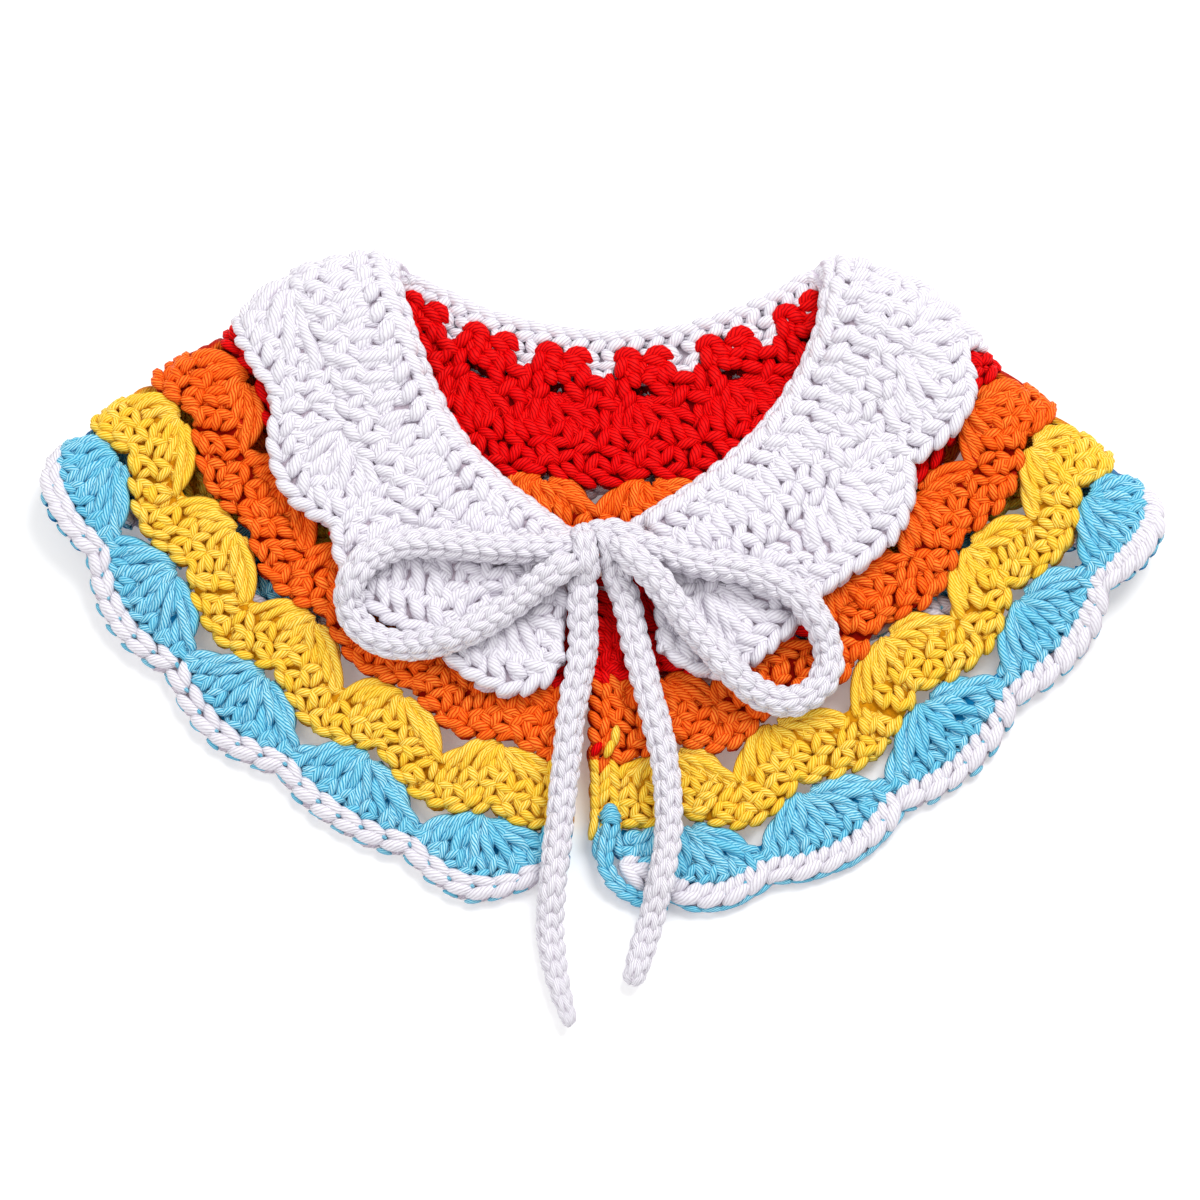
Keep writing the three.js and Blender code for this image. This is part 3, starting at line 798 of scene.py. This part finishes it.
surface = band_surface("red", "orange")
orange_cloth = backing("orange_cloth", surface, cloth_columns(14), (0.1, 0.95, 7), 0.9, orange_shade_backing)
orange_stitches = yarn_mesh("orange_stitches", shell_and_rows(surface, 1.45, 5, 5.3), orange_yarn)
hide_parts("orange_band")

# Yellow band.
# Yellow cotton yarn, worked as the orange band is, in the valleys between its scallops.
# As for the white yarn, all but the first colour are painted shade and highlight, and the backing's colour is
# painted shade
yellow_yarn = yarn_finish("yellow_yarn", (255, 208, 36), (240, 168, 4), (255, 240, 140), (214, 130, 0), 0.12)
yellow_shade_backing = backing_finish("yellow_shade_backing", (230, 156, 16))
surface = band_surface("orange", "yellow")
yellow_cloth = backing("yellow_cloth", surface, cloth_columns(14), (0.1, 0.95, 7), 0.9, yellow_shade_backing)
strands = shell_and_rows(surface, 1.28, 6, 5.3)
# The end of the yellow yarn, darned over the orange band at the right front edge
strands += lobes(on_cape, LAST_FAN, [0.565, 0.60], [-6.3, -4.6], 0, [14, 30], 4.4, 1.2, 3.1)
# and a yellow loop that hangs out beside the blue band there
strands += lobes(on_cape, [LAST_FAN], 0.85, -0.2, 0, 0, 7.0, 1.2, 1.9)
yellow_stitches = yarn_mesh("yellow_stitches", strands, yellow_yarn)
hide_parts("yellow_band")

# Blue band.
# Pale blue cotton yarn. A domed shell of eight tall posts in each valley of the yellow band.
# Its outer posts run along the yellow scallop before they turn down to the hem.
# As for the white yarn, all but the first colour are painted shade and highlight, and the backing's colour is
# painted shade
blue_yarn = yarn_finish("blue_yarn", (98, 202, 231), (14, 145, 198), (206, 243, 250), (0, 102, 164), 0.16)
blue_shade_backing = backing_finish("blue_shade_backing", (16, 128, 182))
BLUE_ENDS = (-0.47, -0.37, -0.23, -0.08, 0.08, 0.23, 0.37, 0.47)
BLUE_END_ROWS = (0.60, 0.82, 0.90, 0.93, 0.93, 0.90, 0.82, 0.60)
surface = band_surface("yellow", "blue")
blue_cloth = backing("blue_cloth", surface, cloth_columns(14), (0.1, 1, 7), 0.8, blue_shade_backing)
strands = posts(surface, SHELLS, FACES_SEEN, BLUE_ENDS, BLUE_END_ROWS, 0.02, 0.14, 1.32, 1.0, 1.1, rings=14)
# The Vs on top of the posts: how far from the middle of the shell, and the angle of the post
BLUE_TOPS = ((-0.44, -22), (-0.3, -16), (-0.16, -9), (0.0, 0), (0.16, 9), (0.3, 16), (0.44, 22))
for patch in patches(surface):
    n = len(patch.shells)
    for end, angle in BLUE_TOPS:
        for side in (-1, 1):
            strands += on_shells(patch, end, 0.82, side, jitter(n, 0.4), angle + 26 * side + jitter(n, 8),
                                 4.8, 1.2, 1.2)
    strands += edge_loops(patch, 8, 0.96, 62, 4.4, 1.15, 1.0)
    if patch.fine:
        strands += underlay(patch, 8, (0.5, 0.66, 0.82, 0.95), 1.25, 5.0)
strands += front_edges(surface, 0.05, 0.95, 5, 1.3)
# At the right front edge the blue yarn starts in a small loop on the yellow band, and a blue
# chain runs from there down the edge and around the corner of the hem
START_DEPTHS = (0.785, 0.80, 0.815, 0.83)
strands += lobes(on_cape, LAST_FAN, START_DEPTHS, -4.8, 0, 88, [3.4, 5.0, 5.2, 4.4], 1.0, 3.0, bow=0.9)
CORNER_CHAIN = [
    (3.2, -66.6, 6.4), (1.9, -70.8, 5.8), (1.0, -75.0, 5.2), (1.6, -79.0, 4.4), (3.8, -82.0, 3.4), (6.8, -84.2, 2.6),
    (10.2, -85.6, 2.0), (14.0, -86.6, 1.7), (18.0, -87.4, 1.6),
]
LINK_PITCH = 3.7
LINK_LENGTH = 5.2


def laid(start, end, radius, rise=0.8):
    """Strands from point to point, in millimetres, that rise in their middle."""
    t = np.linspace(0, 1, SEEN_STRAND[0])
    hump = np.maximum(np.sin(np.pi * t), 0)
    up = np.array([0.0, 0.0, 1.0])
    centres = start[:, None] + (end - start)[:, None] * t[:, None] + (rise * hump)[:, None] * up
    radii = radius * tapered(hump) * np.ones((len(start), 1))
    return strand(centres, radii, np.broadcast_to(up, centres.shape), SEEN_STRAND[1])


def on_line(place, at, line):
    """Points of a line, given how far along it each of its own points is."""
    return np.stack([np.interp(place, at, line[:, k]) for k in range(3)], -1)


def smooth_route(route, step=1.0):
    """Points a step apart on one smooth curve through a route."""
    route = np.array(route, float)
    route = np.concatenate([[2 * route[0] - route[1]], route, [2 * route[-1] - route[-2]]])
    a, b, c, d = (route[k:len(route) - 3 + k][:, None] for k in range(4))
    t = np.linspace(0, 1, 20, endpoint=False)[None, :, None]
    curve = 0.5 * (2 * b + (c - a) * t + (2 * a - 5 * b + 4 * c - d) * t ** 2 + (3 * b - a - 3 * c + d) * t ** 3)
    curve = np.concatenate([curve.reshape(-1, 3), route[-2:-1]])
    way = way_along(curve)
    at = np.linspace(0, way[-1], int(way[-1] / step) + 1)
    return on_line(at, way, curve), at


chain_line, chain_at = smooth_route(CORNER_CHAIN, 0.5)
chain_side, _ = beside_and_above(chain_line, [0, 0, 1])
link_starts = np.arange(0, chain_at[-1] - LINK_LENGTH, LINK_PITCH)
for lean in (-1, 1):
    link_ends = [on_line(place, chain_at, chain_line + lean * apart * chain_side)
                 for place, apart in ((link_starts, 1.5), (link_starts + LINK_LENGTH, 0.4))]
    strands.append(laid(*link_ends, 1.2))
blue_posts = yarn_mesh("blue_posts", strands, blue_yarn)
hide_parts("blue_band")

# Hem edging.
# A last row of chain loops in white yarn around the outer edge, with a thin line of the blue
# yarn showing under it.
surface = band_surface("blue", "hem")
hem_cloth = backing("hem_cloth", surface, (0.42, 18.5, 254), (0, 0.85, 3), 1.4, white_shade_backing)
strands = []
for _, shells, face, fine in patches(surface):
    left, right = (Patch(surface, half, face, fine) for half in (shells[shells < 10], shells[shells >= 10]))
    # On the right half the inner loops of the plait are shorter and steeper, and twice as many
    strands += edge_loops(left, 6, 0.28, 102, 7.6, 1.7, 1.1, loose=5)
    strands += edge_loops(left, 6, 0.76, 78, 7.6, 1.75, 1.0, loose=5)
    strands += edge_loops(right, 12, 0.30, 40, 5.6, 1.55, 1.1, loose=9)
    strands += edge_loops(right, 6, 0.75, 74, 8.4, 1.85, 1.1, loose=5)
    if fine and 1 in shells:
        # The first two loops of the plait, at the left front edge
        for row in (0.28, 0.75):
            strands += lobes(surface, [0.42], row, 0, 0, 90, 6.5, 1.8, 1.0, face)
# The first loop of the row at the right front corner
strands.append(laid(np.array([[5.0, -76.6, 4.2]]), np.array([[10.6, -83.2, 3.0]]), 1.9))
hem_chain = yarn_mesh("hem_chain", strands, white_yarn)
hem_blue = []
for patch in patches(surface):
    if patch.fine:
        hem_blue += edge_loops(patch, 6, 1.09, 88, 3.8, 0.75, -0.2, shift=0.3, loose=8)
        hem_blue += edge_loops(patch, 6, 0.53, 84, 1.5, 0.5, 1.35, shift=0.5, loose=20)
# More of the blue shows along the last two shells of the right front
hem_blue += edge_loops(Patch(surface, SHELLS[-2:], 1, True), 8, 1.13, 88, 5.6, 0.85, -0.2, loose=4)
hem_blue_line = yarn_mesh("hem_blue_line", hem_blue, blue_yarn)
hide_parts("hem_edging")

# Turned-down collar.
# White cotton yarn, worked from the neck edge and turned down over the outside of the cape: an
# edge chain, a short row, a row of tall stitches, one of open Vs, and eleven bordered shells.

# The fans of the notches between scallops, their depths, and the depths that the scallops reach
COLLAR_NOTCHES = np.array([0.62, 2.05, 3.44, 4.71, 6.5, 8.1, 9.65, 11.2, 12.8, 14.88, 16.3, 17.95])
NOTCH_DEPTHS = np.array([0.39, 0.46, 0.42, 0.392, 0.41, 0.41, 0.41, 0.41, 0.40, 0.375, 0.445, 0.37])
SCALLOP_DEPTHS = np.array([0.515, 0.515, 0.48, 0.425, 0.485, 0.485, 0.485, 0.485, 0.46, 0.475, 0.485])
SCALLOPS = len(SCALLOP_DEPTHS)
SCALLOP_FULLNESS = 0.7
# Rows of the roll over the neck edge, and how deep and how far out from the cape they lie
ROLL_ROWS = (0, 0.08, 0.155, 0.24)
ROLL_DEPTHS = (0.02, 0.016, 0.042, 0.085)
ROLL_OUTS = (-1.2, 2.4, 4.9, 5.4)
# At a folded shoulder the collar is full over its middle and pressed flat at its edge
COLLAR_FOLDS = (5.6, 13.3)
FOLD_WIDTH = 0.45
FOLD_FULLNESS = 0.4
FOLD_PRESS = 0.7
# fan, how wide and how deep its edge dips there
COLLAR_DIPS = ((5.6, 0.45, 0.03), (13.65, 0.25, 0.085))


def collar_edge(fan):
    k = np.clip(np.searchsorted(COLLAR_NOTCHES, fan) - 1, 0, SCALLOPS - 1)
    t = (fan - COLLAR_NOTCHES[k]) / (COLLAR_NOTCHES[k + 1] - COLLAR_NOTCHES[k])
    notch = NOTCH_DEPTHS[k] + (NOTCH_DEPTHS[k + 1] - NOTCH_DEPTHS[k]) * t
    arch = np.maximum(np.sin(np.pi * np.clip(t, 0, 1)), 0) ** SCALLOP_FULLNESS
    shorter = sum(less * near(fan, dip, wide) for dip, wide, less in COLLAR_DIPS)
    return notch + (SCALLOP_DEPTHS[k] - notch) * arch - shorter


def collar_place(scallop, row):
    fan = np.interp(scallop, np.arange(SCALLOPS + 1), COLLAR_NOTCHES)
    fan = fan + (scallop - np.clip(scallop, 0, SCALLOPS))
    depth = np.interp(row, ROLL_ROWS, ROLL_DEPTHS)
    share = np.maximum(row - ROLL_ROWS[-1], 0) / (1 - ROLL_ROWS[-1])
    depth = depth + (collar_edge(fan) - depth) * share
    outward = cape_outward(fan, np.maximum(depth, 0.05))
    share = np.clip(share, 0, 1.2)
    near_fold = sum(near(fan, fold, FOLD_WIDTH) for fold in COLLAR_FOLDS)
    fullness = 1 + near_fold * (FOLD_FULLNESS * np.sin(np.pi * np.minimum(share, 1)) - FOLD_PRESS * share ** 2)
    return cape_place(fan, depth) + outward * (np.interp(row, ROLL_ROWS, ROLL_OUTS) * fullness)[..., None]


def on_collar(scallop, row, out):
    outward = facing(collar_place, scallop, row, 0.04, 0.03)
    return collar_place(scallop, row) + outward * out[..., None], outward


# The scallops between which the collar lies underneath, behind the neck
BACK_SCALLOPS = (4.2, 7.8)
COLLAR_STEPS = 1200


def collar_row(pitch, row, across, down, angle, length, radius, out, shift, face, part):
    """Stitches a pitch apart along a row of the collar. part is the front, or the back underneath."""
    scallop = np.linspace(0, SCALLOPS, COLLAR_STEPS)
    way = way_along(collar_place(scallop, np.full_like(scallop, row)))
    count = round(way[-1] / pitch)
    place = np.interp((np.arange(count) + 0.5 + shift) * way[-1] / count, way, scallop)
    on_back = (place > BACK_SCALLOPS[0]) & (place < BACK_SCALLOPS[1])
    place = place[on_back if part == "back" else ~on_back if part == "front" else on_back | ~on_back]
    n = len(place)
    return lobes(on_collar, place, row, across + jitter(n, 0.3), down + jitter(n, 0.3), angle + jitter(n, 9),
                 length * (1 + jitter(n, 0.07)), radius * (1 + jitter(n, 0.07)), out, face, rise=0.6,
                 fine=part == "front")


collar_cloth = backing("collar_cloth", on_collar, (0, SCALLOPS, 155), (0.0, 0.97, 17), 1.0, white_shade_backing)
strands = []
COLLAR_ROWS = (
    # pitch, row, across, down, angle, length, radius, out, shift
    (5.2, 0.02, 0, 0, 70, 6.8, 1.7, 0.8, 0),       # inside of the roll over the neck edge
    (5.4, 0.075, 0, 0, -66, 6.4, 1.7, 0.8, 0.3),
    (5.6, 0.135, 0, 0, 78, 8.2, 2.1, 0.9, 0),      # chain along the top of the roll
    (5.4, 0.215, -0.4, 0, -40, 5.6, 2.05, 1.2, 0),  # first short row
    (5.4, 0.262, 1.6, 0, 58, 4.6, 1.5, 0.6, 0),
    (5.5, 0.345, 0, 0, 6, 8.6, 1.95, 1.4, 0),      # row of tall stitches, side by side
    (5.5, 0.34, 0, 0.4, -16, 7.4, 1.8, 0.9, 0.5),
    (5.5, 0.425, 0, 0, 72, 5.4, 1.6, 1.3, 0.2),
    (6.9, 0.49, -1.7, 0, -30, 7.0, 1.9, 1.4, 0),   # open Vs
    (6.9, 0.49, 1.7, 0.2, 34, 7.0, 1.9, 1.5, 0),
    (6.9, 0.565, 0.4, 0, 62, 5.8, 1.7, 1.5, 0.4),
    (5.2, 0.83, 0, 0, 20, 4.6, 1.5, 0.8, 0),       # border
    (5.2, 0.885, 0, 0, -50, 6.4, 1.85, 1.2, 0),
    (5.2, 0.965, 0, 0, 70, 7.2, 1.75, 0.8, 0.3),
)
for face, part in ((1, "front"), (1, "back"), (-1, "all")):
    for stitches in COLLAR_ROWS:
        strands += collar_row(*stitches, face, part)
    if part == "front":
        for k, row in enumerate(np.linspace(0.15, 0.9, 12)):
            strands += collar_row(4.4, row, 0, 0, (-1) ** k * 38, 6.6, 1.75, 0.25, 0.5 * (k % 2), face, part)
# How far from the middle of a scallop its outer posts end, and how wide one with eight posts is
POST_REACH = 0.43
WIDE_SCALLOP = 1.6
for k in range(SCALLOPS):
    wide = COLLAR_NOTCHES[k + 1] - COLLAR_NOTCHES[k] > WIDE_SCALLOP
    ends = np.linspace(-POST_REACH, POST_REACH, 8 if wide else 6)
    end_rows = 0.86 - 0.08 * (np.abs(ends) / POST_REACH) ** 3
    strands += posts(on_collar, np.array([k + 0.5]), [1], ends, end_rows, 0.58, 0.24, 1.75, 0.7, 0.9)
collar_stitches = yarn_mesh("collar_stitches", strands, white_yarn)
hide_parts("turned_collar")

# Tie cord.
# One round cord crocheted in a spiral of five stitches from the same white yarn, slightly stiff.
# Each route is the middle line of a stretch of it: two loops of the bow, and two tails.
LEFT_LOOP = [
    (-6, -1.2, 24.8), (-9.6, -1.2, 24.6), (-18.8, -1.2, 24.4), (-28, -0.9, 24.1), (-37.8, 0.2, 23.7),
    (-44.5, 0.5, 23.4), (-50.5, -0.1, 23.1), (-55.8, -2.2, 22.7), (-59.6, -5.4, 22.8), (-61.8, -9.2, 21.5),
    (-62.2, -13, 17.8), (-60.8, -16.8, 16.4), (-57.8, -20.3, 16), (-53.2, -22.9, 16.2), (-47.8, -24, 16.9),
    (-42.5, -24, 18.6), (-37.5, -23.8, 21.2), (-32, -21.9, 22.8), (-26.2, -18.8, 23.3), (-20.5, -14.7, 24.4),
    (-14.8, -10.8, 26.6), (-9.2, -7.8, 29), (-6.4, -5.4, 27.8),
]
RIGHT_LOOP = [
    (3.6, -0.2, 24.6), (6.9, -0.8, 24.6), (13.5, -1.3, 24.4), (20, -3.7, 24.3), (26.3, -5.2, 24),
    (32.5, -5.9, 23.7), (38.8, -7.4, 23.4), (45, -10.2, 22.9), (50, -14, 23), (53.8, -18.6, 20.6),
    (56.2, -23.6, 16.6), (56.8, -28.2, 15.5), (55, -33, 15), (51.3, -36.6, 15), (46.5, -38.2, 15.3),
    (41.5, -37.6, 16.4), (36.3, -35.2, 19.4), (31.5, -31.4, 22.4), (26.5, -25.3, 22.7), (22, -20.2, 23.5),
    (17.5, -14.6, 25.2), (13.2, -9.6, 27.6), (9.4, -6.4, 28.8), (6.6, -3.2, 28.4), (4.2, -0.4, 26.8),
]
LEFT_TAIL = [
    (-4.2, -7.4, 22.8), (-4.3, -10.3, 22.4), (-4.5, -14.2, 21.4), (-4.3, -18.5, 19.8), (-4.1, -23.4, 18.4),
    (-4.7, -28.6, 17.4), (-5.7, -33.9, 16.6), (-6.8, -39.5, 15.9), (-7.6, -45.3, 15.1), (-8.2, -51.3, 14),
    (-8.8, -57.4, 12.7), (-9.4, -63.9, 11.3), (-10.2, -70.6, 10.1), (-11, -77.5, 9.2), (-11.8, -84.6, 7.9),
    (-12.3, -90.6, 4.9), (-12, -97.2, 3.8), (-11, -103.8, 3.8), (-9.5, -110.5, 3.8), (-8, -115.8, 3.8),
    (-7.5, -118.4, 3.8),
]
RIGHT_TAIL = [
    (4.5, -4.6, 23.0), (4.4, -8.4, 21.6), (6, -11.8, 20.4), (7.3, -16.6, 19.3), (8.3, -21.6, 18.4),
    (9.5, -26.9, 17.6), (11, -32.8, 17), (12.5, -38.5, 16.4), (14, -44.5, 15.5), (15.5, -50.5, 14.4),
    (16.5, -56.7, 13.3), (17, -62.8, 12), (17, -69.3, 10.7), (16.3, -75.9, 9.8), (15, -82.5, 8.9),
    (13.5, -88.4, 5.8), (11.5, -94.8, 3.8), (9.8, -101, 3.8), (8.3, -106.3, 3.8), (7.9, -107.6, 3.8),
]
CORE_RADIUS = 2.8
CORD_COLUMNS = 5
STITCH_PITCH = 4.4
STITCH_LENGTH = 5.4
STITCH_RADIUS = 1.27
# How far a stitch lies from the middle of the cord at its ends, and how much further in its middle
STITCH_OUT, STITCH_RISE = 2.05, 0.85


def around_cord(route, near=1.0, far=1.0, tip_length=1.0, tip_share=1.0):
    """The surface of a cord: millimetres along it, turns around it, and out from its middle.

    near and far are how thick the cord is at its two ends, and its last tip_length narrows further.
    """
    line, at = smooth_route(route)
    side, top = beside_and_above(line, [0, 0, 1])

    def width(length):
        narrowing = np.clip((length - at[-1] + tip_length) / tip_length, 0, 1) ** 1.3
        return (near + (far - near) * length / at[-1]) * (1 - (1 - tip_share) * narrowing)

    def closing(length):
        from_end = np.minimum(length, at[-1] - length)
        round_end = np.minimum(from_end / (CORE_RADIUS * width(length)), 1)
        return np.sqrt(np.maximum(1 - (1 - round_end) ** 2, 0.05))

    def surface(length, turn, out):
        place, beside, above = (on_line(length, at, grid) for grid in (line, side, top))
        angle = 2 * np.pi * (turn + 0.002 * length)[..., None]
        outward = np.cos(angle) * above + np.sin(angle) * beside
        return place + outward * (out * width(length) * closing(length))[..., None], outward

    core = strand(line[None], (CORE_RADIUS * width(at) * closing(at))[None],
                  np.broadcast_to([0.0, 0, 1], line[None].shape), 10)
    return surface, line, at, width, core


def cord_strands(surface, width, length):
    """Five columns of stitches around a cord, each stitch a V of two strands."""
    made = []
    t = np.linspace(0, 1, SEEN_STRAND[0])
    hump = np.sin(np.pi * t)
    for column in range(CORD_COLUMNS):
        first = STITCH_PITCH * (0.15 + (column * 2 % CORD_COLUMNS) / CORD_COLUMNS)
        at = np.arange(first, length - 1, STITCH_PITCH)
        n = len(at)
        for lean in (-1, 1):
            along = np.clip(at[:, None] + (STITCH_LENGTH * (t - 0.42))[None, :], 0, length)
            turn = column / CORD_COLUMNS + lean * (0.012 + 0.078 * t ** 0.8)[None, :] + jitter(n, 0.01)[:, None]
            out = STITCH_OUT + STITCH_RISE * hump[None, :] + jitter(n, 0.15)[:, None]
            centres, outward = surface(along, turn, out)
            radii = STITCH_RADIUS * tapered(hump, 0.7)[None, :] * width(along) ** 0.7
            made.append(strand(centres, radii * (1 + jitter(n, 0.08))[:, None], outward, SEEN_STRAND[1]))
    return made


def cord_piece(name, node, route, far_end, **thickness):
    surface, line, at, width, inside = around_cord(route, **thickness)
    core = yarn_mesh(name, [inside], white_yarn)
    stitches = yarn_mesh(name + "_stitches", cord_strands(surface, width, at[-1]), white_yarn)
    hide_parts(node)


cord_piece("left_loop_cord", "left_loop", LEFT_LOOP, "object")
cord_piece("right_loop_cord", "right_loop", RIGHT_LOOP, "object")
cord_piece("left_tail_cord", "left_tail", LEFT_TAIL, "bare", far=0.86, tip_length=20, tip_share=0.5)
cord_piece("right_tail_cord", "right_tail", RIGHT_TAIL, "bare", far=0.84, tip_length=10, tip_share=0.78)

# Bow knot.
# The same cord where it winds once over the loops and under itself, pulled tight, so that its
# stitches are flat and stretched. It covers the gap between the two ends of the neck edge.
KNOT_WRAPS = (
    # points of the wrap, and its thickness
    ([(-4.4, 3.4, 20.5), (-4.2, 2.0, 25.0), (-3.8, -1.2, 28.4), (-3.4, -4.8, 28.4), (-3.2, -7.6, 25.6),
      (-3.2, -8.8, 21.8)], 0.82),
    ([(-3.4, 2.6, 22), (-0.6, 3.2, 24.6), (3.2, 3.4, 25.2), (7.0, 2.6, 24.8), (10.5, 1.0, 24.2),
      (13, -0.6, 23.4)], 0.78),
    ([(-2.2, 2.6, 24.6), (-0.2, 1.2, 27.0), (1.6, -1.4, 27.2), (1.9, -4.2, 25.6), (0.8, -6.4, 23)], 0.56),
)
strands = []
for wrap, thickness in KNOT_WRAPS:
    surface, line, at, width, inside = around_cord(wrap, near=thickness, far=thickness)
    strands.append(inside)
    strands += cord_strands(surface, width, at[-1])
knot = yarn_mesh("knot_wraps", strands, white_yarn)
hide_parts("bow_knot")
